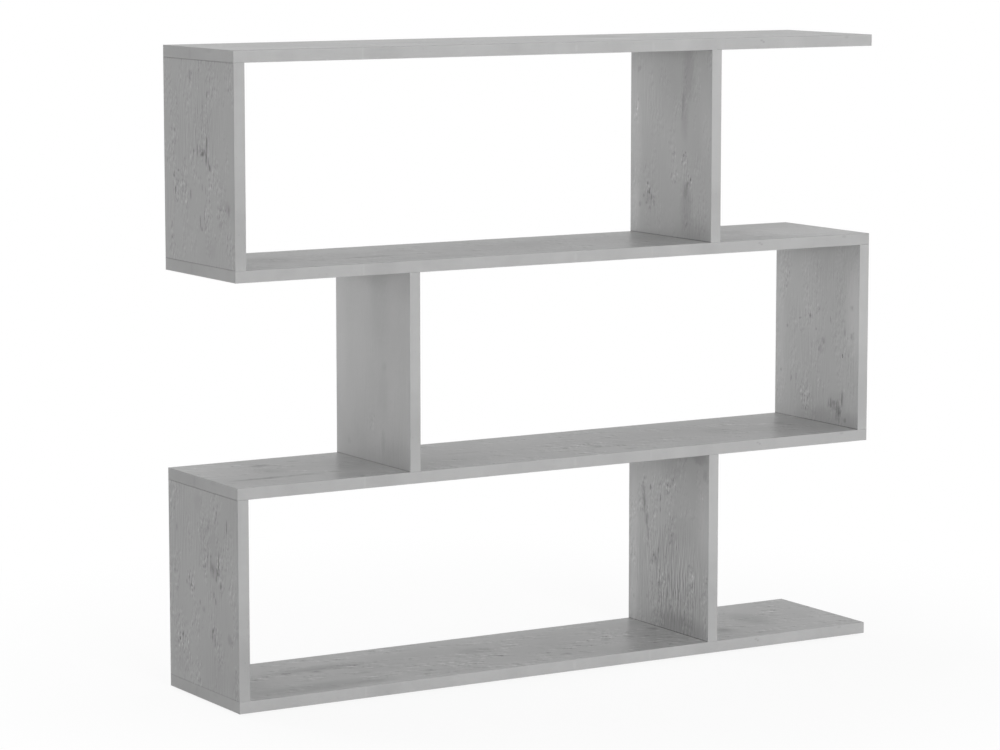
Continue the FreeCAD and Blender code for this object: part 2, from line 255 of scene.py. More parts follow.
def addRoom(room):
    world = bpy.data.worlds.new("softRoom")
    world.use_nodes = True
    world.node_tree.nodes.clear()
    start = Wire(world.node_tree)
    light = start.node("ShaderNodeBackground", None, {"Color": (1, 1, 1, 1), "Strength": room["roomLevel"]})
    white = start.node("ShaderNodeBackground", None, {"Color": (1, 1, 1, 1), "Strength": 1.0})
    joinShaders(seenDirectly(start), light, white, world.node_tree.nodes.new("ShaderNodeOutputWorld"))
    scene.world = world
    scene.view_settings.view_transform = "Standard"


def addLamps(room):
    for name, (place, size, power) in room["lamps"].items():
        lamp = bpy.data.lights.new(name, "AREA")
        lamp.size = size
        lamp.energy = power
        holder = bpy.data.objects.new(name, lamp)
        holder.location = place
        holder.rotation_euler = (Vector(room["aim"]) - Vector(place)).to_track_quat("-Z", "Y").to_euler()
        holder.visible_glossy = False  # reflections show the white room, not the lamps
        scene.collection.objects.link(holder)


addFloor(studio)
addRoom(studio)
addLamps(studio)
print("studio lit")


# boards: chipboard faced with a satin board-marked concrete decor, grain along the board
# marks are in mm on the face that the photograph shows: on an upright from the back edge and from the top,
# on a shelf from the left end and from the back edge, then the two half sizes and the strength
# dark marks are broken up, strokes are thin and dark, soft marks stay smooth and are pale above nought
# crumbled and lined areas have more pits or more grain lines than the rest of the board
# a board's tone lifts or lowers its whole face as painted light and shade: the uprights that face into a bay
# are set paler, the two outer sides darker
# besides broad clouds of the decor, the soft marks hold painted light and painted shade: painted light in
# strips along the back and front edges of the uprights that face into a bay and on the open ends of the
# shelves, painted shade at the head and the foot of those uprights and on the shelf tops beside the uprights
# the seam strength darkens the ends of an upright where it meets the shelves: a dark seam together with
# painted contact shade, stronger on the uprights that face into a bay
boards = {
    "top_left_side": {
        "kind": "upright", "seed": 1, "tone": -0.034, "lines": 0.6, "crumbs": 0.70, "seamShade": 0.15,
        "dark": [
            (131, 136, 13, 9, 0.10), (208, 211, 12, 14, 0.06), (89, 26, 11, 11, 0.06),
            (146, 52, 7, 9, 0.06), (186, 236, 12, 7, 0.07),
        ],
        "soft": [
            (148, 128, 1.6, 18, 0.13), (205, 216, 34, 30, -0.025), (153, 276, 22, 16, -0.035),
            (135, 105, 54, 74, -0.035), (205, 110, 30, 100, 0.01),
        ],
        "crumbled": [
            (129, 165, 45, 90, 0.9), (45, 190, 44, 95, 0.45), (127, 240, 20, 24, 0.8),
            (198, 222, 30, 22, 0.9), (89, 28, 16, 16, 0.5), (140, 55, 14, 22, 0.6),
        ],
        "lined": [(120, 110, 60, 60, 0.8)],
        "strokes": [
            (142, 120, 2.5, 20, 0.19), (140, 142, 2.5, 16, 0.20), (112, 132, 2.5, 12, 0.15),
            (128, 137, 8, 4, 0.07), (120, 130, 3, 7, 0.11), (151, 156, 4, 7, 0.20),
            (146, 148, 2.5, 10, 0.14), (126, 186, 2, 9, 0.12), (137, 190, 2, 8, 0.12),
            (88, 199, 3, 11, 0.13), (119, 238, 3, 14, 0.13), (132, 230, 2.5, 12, 0.10),
            (124, 247, 4, 5, 0.12), (212, 216, 4, 12, 0.05), (143, 50, 3, 9, 0.08), (48, 166, 5, 3, 0.10),
            (37, 196, 3, 8, 0.10), (24, 248, 3, 7, 0.09),
        ],
    },
    "top_right_divider": {
        "kind": "upright", "seed": 2, "tone": 0.0, "lines": 0.3, "crumbs": 0.40, "seamShade": 0.30,
        "dark": [
            (150, 84, 6, 34, 0.05), (157, 228, 7, 16, 0.05), (54, 242, 22, 18, 0.05),
            (25, 36, 8, 8, 0.07),
        ],
        # the pale strips along the back edge are painted light; the dark soft marks at the head and the foot
        # are painted shade
        "soft": [
            (14, 150, 26, 150, 0.07), (21, 90, 5, 16, 0.06), (210, 120, 20, 90, 0.03),
            (165, 38, 24, 66, -0.08), (154, 108, 15, 52, -0.07), (160, 246, 22, 56, -0.09),
            (14, 262, 24, 54, 0.07), (185, 290, 62, 34, -0.05), (110, 60, 60, 70, -0.02),
        ],
        "crumbled": [
            (54, 240, 30, 30, 1.2), (155, 170, 16, 14, 1.4), (165, 204, 18, 14, 1.2),
            (130, 205, 24, 14, 0.8), (22, 95, 12, 34, 0.8), (150, 150, 60, 100, 0.3),
        ],
        "lined": [(60, 90, 40, 60, 0.4)],
        "strokes": [
            (28, 254, 6, 6, 0.08), (39, 239, 4, 5, 0.08), (55, 231, 3, 9, 0.10), (61, 239, 3, 8, 0.09),
            (47, 251, 4, 4, 0.09), (57, 258, 4, 5, 0.09), (69, 250, 3, 7, 0.10), (152, 168, 4, 4, 0.11),
            (161, 171, 3, 5, 0.12), (157, 164, 3, 3, 0.10), (162, 215, 3, 10, 0.09), (22, 85, 2, 5, 0.10),
        ],
    },
    "middle_left_divider": {
        "kind": "upright", "seed": 3, "tone": 0.092, "lines": 0.25, "crumbs": 0.10, "seamShade": 0.26,
        "dark": [(147, 264, 10, 24, 0.07), (151, 150, 10, 12, 0.04), (40, 275, 9, 8, 0.05)],
        # the pale strip along the back edge is painted light; the dark soft marks at the head and the foot
        # are painted shade
        "soft": [
            (8, 120, 36, 150, 0.04), (50, 175, 70, 120, 0.05), (180, 190, 30, 70, 0.02),
            (135, 60, 44, 90, -0.06), (130, 15, 66, 30, -0.04), (146, 190, 22, 70, -0.03),
            (190, 290, 80, 46, -0.05), (130, 250, 60, 50, 0.02),
        ],
        "crumbled": [(148, 262, 14, 34, 0.8), (120, 240, 40, 26, 0.6)],
    },
    "middle_right_side": {
        "kind": "upright", "seed": 4, "tone": 0.012, "lines": 0.45, "crumbs": 0.50, "seamShade": 0.28,
        "dark": [
            (155, 266, 11, 11, 0.14), (176, 277, 10, 18, 0.14), (188, 252, 4, 26, 0.06),
            (186, 188, 2.5, 3, 0.45), (168, 262, 12, 8, 0.10), (210, 102, 8, 7, 0.09),
            (212, 152, 8, 9, 0.11), (133, 163, 9, 8, 0.07), (125, 178, 7, 9, 0.05),
        ],
        # the pale strips along the back and front edges are painted light; the dark soft marks at the foot
        # are painted shade
        "soft": [
            (12, 150, 22, 150, 0.06), (226, 100, 46, 115, 0.12), (216, 294, 40, 32, -0.05),
            (130, 168, 24, 26, -0.03), (150, 298, 130, 36, -0.09), (130, 40, 50, 40, -0.03),
            (175, 262, 36, 24, -0.04),
        ],
        "crumbled": [
            (75, 262, 40, 36, 1.0), (136, 236, 26, 14, 1.0), (120, 126, 40, 22, 0.8),
            (175, 270, 30, 20, 0.8), (212, 125, 14, 36, 0.8), (30, 70, 22, 40, 0.2),
        ],
        "lined": [(200, 190, 26, 60, 0.6), (60, 120, 30, 50, 0.4)],
        "strokes": [
            (157, 270, 5, 7, 0.05), (166, 272, 4, 6, 0.05), (186, 254, 2.5, 20, 0.15),
            (180, 278, 4, 8, 0.03), (195, 290, 5, 6, 0.08), (97, 126, 2.5, 9, 0.15),
            (154, 128, 2, 8, 0.12), (114, 148, 3, 3, 0.11), (33, 150, 4, 4, 0.09), (17, 225, 3, 4, 0.11),
            (192, 145, 2.5, 12, 0.10), (69, 133, 6, 2.5, 0.10), (45, 237, 2.5, 8, 0.11),
            (59, 232, 2.5, 7, 0.10), (30, 85, 3, 5, 0.09), (38, 61, 2.5, 5, 0.08),
        ],
    },
    "bottom_left_side": {
        "kind": "upright", "seed": 5, "tone": -0.040, "lines": 0.6, "crumbs": 0.75, "seamShade": 0.12,
        "dark": [
            (152, 115, 18, 15, 0.08), (117, 181, 7, 8, 0.06), (224, 200, 9, 10, 0.05),
            (201, 214, 11, 10, 0.05),
        ],
        "soft": [
            (173, 106, 1.6, 20, 0.14), (102, 62, 1.4, 34, 0.09), (205, 110, 26, 90, 0.015),
            (43, 268, 44, 30, -0.04), (168, 270, 40, 34, -0.02), (218, 278, 30, 30, -0.03),
            (130, 80, 54, 64, -0.04), (100, 20, 20, 20, -0.03),
        ],
        "crumbled": [
            (140, 125, 50, 60, 0.7), (74, 150, 30, 30, 1.0), (156, 160, 16, 20, 0.9),
            (150, 217, 18, 24, 1.1), (46, 236, 24, 24, 0.8), (205, 212, 26, 18, 1.1),
            (110, 268, 16, 14, 0.8),
        ],
        "lined": [(90, 80, 60, 60, 0.7)],
        "strokes": [
            (148, 113, 7, 10, 0.05), (141, 108, 2.5, 14, 0.10), (166, 104, 2.5, 22, 0.15),
            (158, 128, 3, 8, 0.14), (172, 136, 4, 8, 0.11), (163, 120, 3, 6, 0.12),
            (150, 154, 2.5, 8, 0.14), (156, 162, 2.5, 8, 0.14), (68, 140, 2.5, 8, 0.15),
            (75, 147, 2.5, 7, 0.15), (60, 146, 3, 4, 0.10), (144, 214, 2.5, 14, 0.13),
            (152, 222, 2.5, 12, 0.13), (147, 206, 3, 5, 0.10), (193, 45, 2.5, 14, 0.14),
            (161, 31, 2.5, 9, 0.10), (28, 68, 3, 9, 0.08), (21, 137, 4, 6, 0.06), (104, 171, 3, 7, 0.10),
            (45, 229, 4, 6, 0.11),
        ],
    },
    "bottom_right_divider": {
        "kind": "upright", "seed": 6, "tone": 0.008, "lines": 0.5, "crumbs": 0.75, "seamShade": 0.32,
        "dark": [
            (42, 84, 6, 18, 0.11), (47, 104, 7, 18, 0.11), (52, 126, 8, 20, 0.11), (57, 150, 6, 18, 0.08),
            (219, 34, 9, 18, 0.08), (78, 187, 18, 18, 0.06),
        ],
        # the pale strips along the back and front edges are painted light; the dark soft marks at the head
        # and the foot are painted shade
        "soft": [
            (14, 170, 22, 150, 0.10), (226, 90, 40, 110, 0.08), (179, 102, 12, 10, 0.03),
            (145, 135, 50, 34, -0.04), (203, 8, 30, 16, -0.10), (135, 245, 90, 60, -0.05),
            (150, 292, 120, 34, -0.14), (14, 268, 24, 52, 0.06), (115, 165, 44, 44, -0.05),
            (120, 40, 46, 26, -0.05),
        ],
        "crumbled": [
            (73, 196, 26, 24, 1.2), (114, 62, 34, 26, 1.1), (176, 188, 22, 20, 0.9),
            (179, 102, 18, 16, 0.9), (150, 250, 50, 30, 0.7), (22, 150, 18, 120, 0.4),
            (40, 60, 24, 24, 0.8), (150, 205, 100, 60, 0.9),
        ],
        "lined": [(120, 210, 124, 95, 2.1), (150, 245, 100, 60, 0.8)],
        "strokes": [
            (63, 74, 3, 6, 0.14), (92, 87, 2.5, 9, 0.14), (92, 107, 2.5, 8, 0.11), (46, 100, 3, 14, 0.07),
            (69, 198, 3, 6, 0.10), (79, 188, 4, 5, 0.09), (88, 174, 3, 7, 0.10), (74, 182, 3, 5, 0.10),
            (117, 215, 4, 10, 0.08), (127, 200, 2.5, 16, 0.10), (55, 255, 3, 6, 0.08),
            (16, 260, 3, 5, 0.09),
        ],
    },
    "top_shelf": {
        "kind": "shelf", "seed": 7, "tone": 0.0, "lines": 0.2, "crumbs": 0.8, "seamShade": 0.0,
        "soft": [
            (700, 148, 70, 26, 0.13), (715, 80, 60, 40, -0.10), (640, 20, 60, 30, -0.08),
            (365, 115, 60, 44, -0.06), (40, 150, 60, 70, 0.05), (330, 170, 70, 34, 0.04),
            (140, 195, 70, 30, 0.05), (890, 165, 60, 50, 0.03), (480, 160, 70, 60, -0.03),
        ],
    },
    "upper_shelf": {
        "kind": "shelf", "seed": 8, "tone": 0.010, "lines": 0.2, "crumbs": 0.75, "seamShade": 0.0,
        "dark": [
            (275, 147, 70, 14, 0.13), (180, 150, 20, 12, 0.09), (380, 149, 16, 10, 0.07),
            (448, 149, 14, 10, 0.07), (950, 191, 14, 11, 0.08),
        ],
        # the large pale soft mark at the right end is painted light on the open end
        "soft": [
            (1080, 140, 140, 130, 0.18), (115, 115, 50, 60, -0.10), (350, 84, 40, 30, -0.05),
            (950, 103, 50, 40, -0.08), (340, 200, 180, 40, -0.05), (60, 40, 80, 70, 0.07),
            (270, 60, 110, 40, 0.05),
        ],
        "crumbled": [(300, 150, 120, 40, 0.6)],
    },
    "lower_shelf": {
        "kind": "shelf", "seed": 9, "tone": 0.0, "lines": 0.2, "crumbs": 0.75, "seamShade": 0.0,
        "dark": [
            (126, 58, 22, 14, 0.12), (186, 46, 14, 10, 0.10), (80, 167, 80, 10, 0.13),
            (150, 166, 40, 8, 0.08), (194, 165, 14, 10, 0.10), (597, 123, 9, 8, 0.10),
            (616, 146, 10, 10, 0.10), (665, 165, 13, 12, 0.12), (707, 161, 13, 10, 0.09),
            (676, 119, 12, 10, 0.07), (699, 203, 16, 12, 0.10), (1056, 100, 16, 16, 0.08),
            (450, 108, 50, 9, 0.05),
        ],
        # the pale soft mark at the left end is painted light on the open end; the dark soft marks just left
        # of the divider are painted shade
        "soft": [
            (40, 70, 90, 110, 0.10), (650, 90, 260, 90, 0.03), (205, 206, 50, 36, -0.07),
            (585, 81, 7, 7, 0.09), (1030, 98, 14, 12, 0.09), (957, 59, 14, 10, 0.06),
            (114, 112, 40, 28, -0.08), (923, 119, 44, 44, -0.08), (400, 170, 110, 60, -0.05),
            (560, 70, 120, 60, 0.03), (1000, 160, 50, 60, -0.03), (1075, 140, 50, 100, -0.04),
            (245, 130, 44, 90, -0.03),
        ],
        "crumbled": [(660, 150, 90, 60, 0.8), (560, 207, 80, 20, 0.9), (980, 90, 60, 60, 0.5)],
        "strokes": [(85, 167, 90, 9, 0.03), (126, 58, 40, 9, 0.04), (190, 45, 16, 7, 0.04)],
    },
    "bottom_shelf": {
        "kind": "shelf", "seed": 10, "tone": -0.005, "lines": 0.2, "crumbs": 0.85, "seamShade": 0.0,
        "dark": [
            (198, 101, 14, 11, 0.10), (486, 141, 12, 10, 0.08), (258, 144, 14, 10, 0.07),
            (350, 182, 16, 11, 0.09), (448, 152, 12, 10, 0.07), (240, 204, 60, 16, 0.06),
            (593, 188, 14, 11, 0.09), (646, 125, 12, 10, 0.07), (699, 129, 11, 9, 0.12),
            (748, 129, 11, 9, 0.10), (767, 99, 10, 8, 0.10), (729, 49, 11, 9, 0.07),
            (817, 95, 12, 16, 0.12), (1049, 110, 14, 9, 0.08), (908, 165, 18, 16, 0.07),
        ],
        # the pale soft mark at the right end is painted light on the open end
        "soft": [
            (1060, 104, 12, 7, 0.07), (1110, 170, 40, 70, 0.03), (205, 84, 130, 26, -0.13),
            (160, 196, 150, 36, -0.13), (60, 150, 70, 90, -0.04), (486, 95, 46, 28, -0.10),
            (380, 190, 120, 44, -0.05), (996, 115, 40, 70, -0.11), (905, 165, 36, 34, -0.09),
            (690, 206, 120, 40, -0.06), (560, 70, 110, 60, 0.03), (270, 40, 140, 40, 0.04),
            (800, 150, 60, 100, -0.05), (640, 170, 70, 50, -0.02),
        ],
        "crumbled": [(440, 160, 120, 50, 0.7), (730, 115, 90, 50, 0.6), (1040, 100, 60, 40, 0.7)],
        "strokes": [(215, 86, 90, 6, 0.04), (740, 100, 12, 4, 0.05), (815, 93, 14, 5, 0.05)],
    },
}
# the decor is finer on the uprights
# turn lays x along the grain, y across it and z through the board
boardKinds = {
    "upright": {
        "turn": (0, pi / 2, 0),
        "cloud": 0.09,
        "mottle": 0.04,
        "mottleScale": (20, 34, 34),
        "crumbScale": (75, 220, 220),
        "dashDepth": 0.75,
    },
    "shelf": {
        "turn": (0, 0, 0),
        "cloud": 0.16,
        "mottle": 0.14,
        "mottleScale": (30, 24, 24),
        "crumbScale": (48, 85, 85),
        "dashDepth": 0.82,
    },
}
# scales are per metre, depths are shares of the way from dark grey to pale grey
# a grain is the detail and the roughness of a noise
boardFinish = {
    "darkGrey": (0.04, 0.04, 0.04),
    "paleGrey": (0.66, 0.66, 0.66),
    "tone": 0.525,
    "roughness": 0.37,
    "mottleRoughness": 0.12,
    "pitRoughness": 0.08,
    "gloss": 0.14,
    "relief": 0.06,
    "reliefHeight": 0.2,  # mm
    "pitRelief": 0.4,
    "seedStep": (3.7, 1.9, 2.3),  # metres, so that no two boards are alike
    "cloudScale": (6, 10, 10),
    "cloudDetail": 3.0,
    "lineScale": (26, 210, 210),
    "lineGrain": (2.0, 0.6),
    "lineSide": 1.5,  # mm from a grain line's dark side to its pale side
    "lineDepth": 0.50,
    "linedScale": (6, 14, 14),
    "linedRange": (0.40, 0.66),
    "crumbledScale": (16, 36, 36),
    "crumbledDetail": 3.0,
    "crumbledShift": (5, 5, 5),  # metres, so that its noise is unlike the others
    "crumbledRange": (0.40, 0.64),
    "crumbGrain": (3.0, 0.7),
    # crumbs with a dark side and a pale side, and pale rims beside the pits, are painted shade and painted
    # highlights of a relief lit from one side
    "crumbSide": 0.3,  # share of a crumb's length from its dark side to its pale side
    "pitRange": (0.16, 0.30),
    "pitSpread": 0.04,
    "pitDepth": 0.16,
    "fleckHighlightDepth": 0.16,  # pale rims beside the pits
    "darkDepth": 1.15,
    "strokeDepth": 1.55,
    "brokenRange": (0.36, 0.58),
    "brokenDepth": 0.90,
    "streakScale": (24, 260, 260),
    "streakRange": (0.36, 0.62),
    "streakDepth": 0.70,
    "wholeDepth": 0.15,  # part of a dark mark that isn't broken up
    "strayScale": (50, 90, 90),
    "strayGrain": (4.0, 0.65),
    "stray": {  # mm that the outline of a mark wanders
        "dark": (26, 17, 0),
        "strokes": (8, 5, 0),
        "soft": (26, 17, 0),
        "crumbled": (26, 17, 0),
        "lined": (26, 17, 0),
    },
    "faceDepth": 4.0,  # mm, so that a mark stays on its own face
    # the seam line and its painted contact shade fade out over this range
    "seamShadeRange": (0.3, 1.6),  # mm from the end of an upright
}


def markPlace(name, mark, depth):  # middle and half sizes of a mark, in the grain's axes
    first, second, halfFirst, halfSecond, _ = mark
    low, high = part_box(name)
    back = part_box(name + "_back_band")[1].y
    if boards[name]["kind"] == "upright":
        middle = (high.z - second * mm, back - first * mm, -low.x)
        return middle, (halfSecond * mm, halfFirst * mm, depth * mm)
    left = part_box(name + "_left_band")[0].x
    middle = (left + first * mm, back - second * mm, high.z)
    return middle, (halfFirst * mm, halfSecond * mm, depth * mm)


def addMarks(place, name, marks, depth):  # sum of the listed marks on a board's face
    total = 0.0
    for mark in marks:
        total = spot(place, *markPlace(name, mark, depth)) * mark[-1] + total
    return total


# the seam line is dark where an upright meets a shelf: partly the seam itself, partly painted contact shade
# in the corner
def seamShadeLine(place, name, look):  # 1 at the ends of an upright, where it meets the shelves
    low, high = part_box(name)
    inside = (high.z - low.z) / 2 - abs(separate(place, "X") - (low.z + high.z) / 2)
    return 1 - ease(inside, *[reach * mm for reach in look["seamShadeRange"]])


def boardDecor(name, board, look):
    kind = boardKinds[board["kind"]]
    material, shader, start = newFinish("concreteDecor_" + name)
    place = turned(start, kind["turn"])
    away = shifted(place, [board["seed"] * step for step in look["seedStep"]])
    wander = noise(away, look["strayScale"], *look["strayGrain"], "Color")
    wander = shifted(wander, (-0.5, -0.5, -0.5))
    marks = {}
    for sort, reach in look["stray"].items():
        ragged = shifted(place, scaled(wander, [side * mm for side in reach]))
        marks[sort] = addMarks(ragged, name, board.get(sort, ()), look["faceDepth"])

    cloud = noise(away, look["cloudScale"], look["cloudDetail"]) - 0.5
    mottle = noise(away, kind["mottleScale"]) - 0.5
    lineSide = shifted(away, (0, look["lineSide"] * mm, 0))
    lineLook = (look["lineScale"], *look["lineGrain"])
    lines = noise(away, *lineLook) - noise(lineSide, *lineLook)
    lined = ease(noise(away, look["linedScale"]), *look["linedRange"]) * board["lines"] + marks["lined"]
    elsewhere = shifted(away, look["crumbledShift"])
    patches = noise(elsewhere, look["crumbledScale"], look["crumbledDetail"])
    crumbled = ease(patches, *look["crumbledRange"]) * (marks["crumbled"] + board["crumbs"])
    alongCrumb, acrossCrumb = [look["crumbSide"] / scale for scale in kind["crumbScale"][:2]]
    crumbSide = shifted(away, (alongCrumb, acrossCrumb, 0))
    crumbLook = (kind["crumbScale"], *look["crumbGrain"])
    crumbs = noise(away, *crumbLook)
    # crumbs of the decor, drawn with a dark side and a pale side that are painted shade and painted light of
    # a relief lit from one side
    dashLightAndShade = crumbs - noise(crumbSide, *crumbLook)
    pits = ease(crumbled * look["pitSpread"] - dashLightAndShade, *look["pitRange"])
    # pale rims beside the pits: painted highlights
    fleckHighlights = ease(crumbled * look["pitSpread"] + dashLightAndShade, *look["pitRange"])
    streaks = ease(noise(away, look["streakScale"]), *look["streakRange"])
    broken = ease(crumbs, *look["brokenRange"]) * look["brokenDepth"] + streaks * look["streakDepth"]

    tone = cloud * kind["cloud"] + mottle * kind["mottle"] + lines * lined * look["lineDepth"]
    rimHighlightsAndPits = fleckHighlights * look["fleckHighlightDepth"] - pits * look["pitDepth"]
    # the crumbs' dark and pale sides and the pits' pale rims are painted shade and painted highlights
    tone = tone + crumbled * (dashLightAndShade * kind["dashDepth"] + rimHighlightsAndPits)
    tone = tone - marks["dark"] * (broken + look["wholeDepth"]) * look["darkDepth"]
    # the soft marks bring broad clouds of the decor together with painted light and painted shade
    tone = tone - marks["strokes"] * look["strokeDepth"] + marks["soft"]
    # dark seam with painted contact shade at the ends of an upright
    if board["seamShade"]:
        tone = tone - seamShadeLine(place, name, look) * board["seamShade"]
    # the board's own tone is painted light and shade: paler inner uprights, darker outer sides
    colour = blendColours(tone + (look["tone"] + board["tone"]), look["darkGrey"], look["paleGrey"])
    roughness = mottle * look["mottleRoughness"] + pits * look["pitRoughness"] + look["roughness"]
    normal = bump(lines * lined - pits * look["pitRelief"], look["relief"], look["reliefHeight"] * mm)
    feed(shader, {"Base Color": colour, "Roughness": roughness, "Normal": normal})
    feed(shader, {"Specular IOR Level": look["gloss"]})
    return material


for name, board in boards.items():
    dress(name, boardDecor(name, board, boardFinish))
print("boards faced:", len(boards))


# edge bands: satin plastic strips with a softly clouded print
# marks are the same on every band of a kind: mm from its left or from the back, mm down from its top,
# then the two half sizes and the strength, pale above nought
bandMarks = {
    "shelfFront": [
        (85, 9, 25, 20, -0.02), (212, 9, 2, 20, 0.03), (245, 9, 42, 20, -0.035), (400, 9, 45, 16, 0.015),
        (470, 9, 20, 14, -0.02), (555, 9, 20, 14, 0.02), (582, 9, 4, 9, 0.04), (655, 9, 36, 20, -0.02),
        (722, 9, 3, 12, 0.025), (775, 9, 26, 16, 0.02), (825, 9, 26, 20, -0.025), (925, 5, 4, 2.2, -0.10),
        (929, 7.5, 3.5, 2.2, -0.12), (985, 9, 32, 16, 0.025), (1090, 3, 6, 3, -0.08),
    ],
    "shelfEnd": [
        (60, 9, 80, 24, -0.025), (88, 9, 6, 14, -0.03), (175, 9, 60, 24, 0.02), (222, 9, 20, 20, 0.02),
        (150, 4, 14, 4, -0.03),
    ],
    "uprightFront": [
        (9, 125, 40, 100, 0.008), (9, 205, 40, 60, -0.022), (9, 255, 40, 60, -0.040),
        (4, 20, 6, 24, -0.012),
    ],
}
# each band's own lift or drop in tone; the shelves' left-end bands are set darker as painted shade, in line
# with the left faces of the sides
bandTones = {
    "top_left_side_front_band": -0.040,
    "middle_left_divider_front_band": -0.014,
    "bottom_left_side_front_band": -0.038,
    "top_right_divider_front_band": 0.032,
    "middle_right_side_front_band": 0.048,
    "bottom_right_divider_front_band": 0.040,
    "bottom_shelf_left_band": -0.080,
    "lower_shelf_left_band": -0.092,
    "upper_shelf_left_band": -0.082,
    "top_shelf_left_band": -0.072,
    "bottom_shelf_front_band": 0.027,
    "lower_shelf_front_band": -0.006,
    "upper_shelf_front_band": -0.010,
    "top_shelf_front_band": 0.004,
}
bandFinish = {  # in the same terms as the boards' finish
    "darkGrey": (0.04, 0.04, 0.04),
    "paleGrey": (0.66, 0.66, 0.66),
    "tone": 0.519,
    "roughness": 0.34,
    "cloudRoughness": 0.15,
    "gloss": 0.30,
    "relief": 0.08,
    "reliefHeight": 0.2,  # mm
    "seedStep": (2.9, 1.3, 3.1),
    "cloudScale": (11, 34, 34),
    "cloudGrain": (4.0, 0.55),
    "cloud": 0.05,
    "streakScale": (60, 26, 26),  # faint bands across the strip
    "streak": 0.04,
    "speckScale": (170, 260, 260),
    "speckRange": (0.64, 0.78),
    "speck": 0.05,
    "faceDepth": 3.0,  # mm, so that a mark stays on its own face
    "ramp": 0.055,  # a shelf's front band grows paler to the right, per metre
}
alongX, alongY, alongZ = (0, 0, 0), (0, 0, -pi / 2), (0, pi / 2, 0)  # turns that lay x along a band
bandSides = {  # turn, seed of the first board's band and marks
    "shelf": {
        "front": (alongX, 5, "shelfFront"),
        "back": (alongX, 4, None),
        "left": (alongY, 4, "shelfEnd"),
        "right": (alongY, 5, None),
    },
    "upright": {
        "front": (alongZ, 12, "uprightFront"),
        "back": (alongZ, 11, None),
    },
}


def bandMarkPlace(name, mark, depth):
    along, down, halfAlong, halfDown, _ = mark
    low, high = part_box(name)
    if name.endswith("_left_band"):
        return (low.x, high.y - along * mm, high.z - down * mm), (depth * mm, halfAlong * mm, halfDown * mm)
    return (low.x + along * mm, low.y, high.z - down * mm), (halfAlong * mm, depth * mm, halfDown * mm)


def bandPrint(name, seed, turn, look, marks):
    material, shader, start = newFinish("bandPrint_" + name)
    away = shifted(turned(start, turn), [seed * step for step in look["seedStep"]])
    cloud = noise(away, look["cloudScale"], *look["cloudGrain"]) - 0.5
    streak = noise(away, look["streakScale"]) - 0.5
    speck = ease(noise(away, look["speckScale"]), *look["speckRange"])
    tone = cloud * look["cloud"] + streak * look["streak"] - speck * look["speck"]
    if name.endswith("_shelf_front_band"):
        tone = tone + separate(start, "X") * look["ramp"]
    for mark in marks:
        tone = tone + spot(start, *bandMarkPlace(name, mark, look["faceDepth"])) * mark[-1]
    tone = tone + (look["tone"] + bandTones.get(name, 0.0))
    colour = blendColours(tone, look["darkGrey"], look["paleGrey"])
    roughness = cloud * look["cloudRoughness"] + look["roughness"]
    normal = bump(speck, look["relief"], look["reliefHeight"] * mm)
    feed(shader, {"Base Color": colour, "Roughness": roughness, "Normal": normal})
    feed(shader, {"Specular IOR Level": look["gloss"]})
    return material


for kind, sides in bandSides.items():
    carriers = [name for name, board in boards.items() if board["kind"] == kind]
    for index, carrier in enumerate(carriers):
        for side, (turn, seed, marks) in sides.items():
            name = f"{carrier}_{side}_band"
            dress(name, bandPrint(name, seed + index, turn, bandFinish, bandMarks.get(marks, ())))
print("edge bands printed")


# fittings: cam locks, bolts, dowels, glides and nails keep their CAD shapes
fittings = {
    "castZinc": {
        "dark": (0.42, 0.42, 0.40), "pale": (0.62, 0.62, 0.60), "grain": (900, 900, 900),
        "metal": 1.0, "rough": 0.48, "relief": 0.20,
    },
    "platedSteel": {
        "dark": (0.50, 0.50, 0.51), "pale": (0.68, 0.68, 0.69), "grain": (300, 300, 1400),
        "metal": 1.0, "rough": 0.30, "relief": 0.10,
    },
    "rawBeech": {
        "dark": (0.50, 0.33, 0.19), "pale": (0.66, 0.47, 0.30), "grain": (900, 900, 60),
        "metal": 0.0, "rough": 0.62, "relief": 0.25,
    },
    "capPlastic": {
        "dark": (0.44, 0.44, 0.44), "pale": (0.52, 0.52, 0.52), "grain": (1500, 1500, 1500),
        "metal": 0.0, "rough": 0.45, "relief": 0.12,
    },
    "glidePlastic": {
        "dark": (0.18, 0.18, 0.18), "pale": (0.25, 0.25, 0.25), "grain": (1200, 1200, 1200),
        "metal": 0.0, "rough": 0.36, "relief": 0.12,
    },
}
fittingGrain = {  # the same for every fitting
    "noise": (3.0, 0.6),  # detail and roughness
    "broadStep": 12,  # times as large as the fine grain
    "fineShare": 0.6,
    "broadShare": 0.4,
    "roughSpread": 0.3,
    "reliefHeight": 0.2,  # mm
}
tiers = ("bottom", "middle", "top")


def fittingFinish(name, look, grain):
    material, shader, start = newFinish(name)
    fine = noise(start, look["grain"], *grain["noise"])
    broad = noise(start, [scale / grain["broadStep"] for scale in look["grain"]])
    tone = fine * grain["fineShare"] + broad * grain["broadShare"]
    colour = blendColours(tone, look["dark"], look["pale"])
    rough = (broad - 0.5) * grain["roughSpread"] + look["rough"]
    normal = bump(fine, look["relief"], grain["reliefHeight"] * mm)
    feed(shader, {"Base Color": colour, "Metallic": look["metal"], "Roughness": rough, "Normal": normal})
    return material


finishes = {name: fittingFinish(name, look, fittingGrain) for name, look in fittings.items()}
for tier in tiers:
    dress(f"{tier}_tier_cam_locks", finishes["castZinc"])
    dress(f"{tier}_tier_cam_bolts", finishes["platedSteel"])
    dress(f"{tier}_tier_dowels", finishes["rawBeech"])
dress("floor_glides", finishes["glidePlastic"])
dress("glide_nails", finishes["platedSteel"])
print("fittings finished")


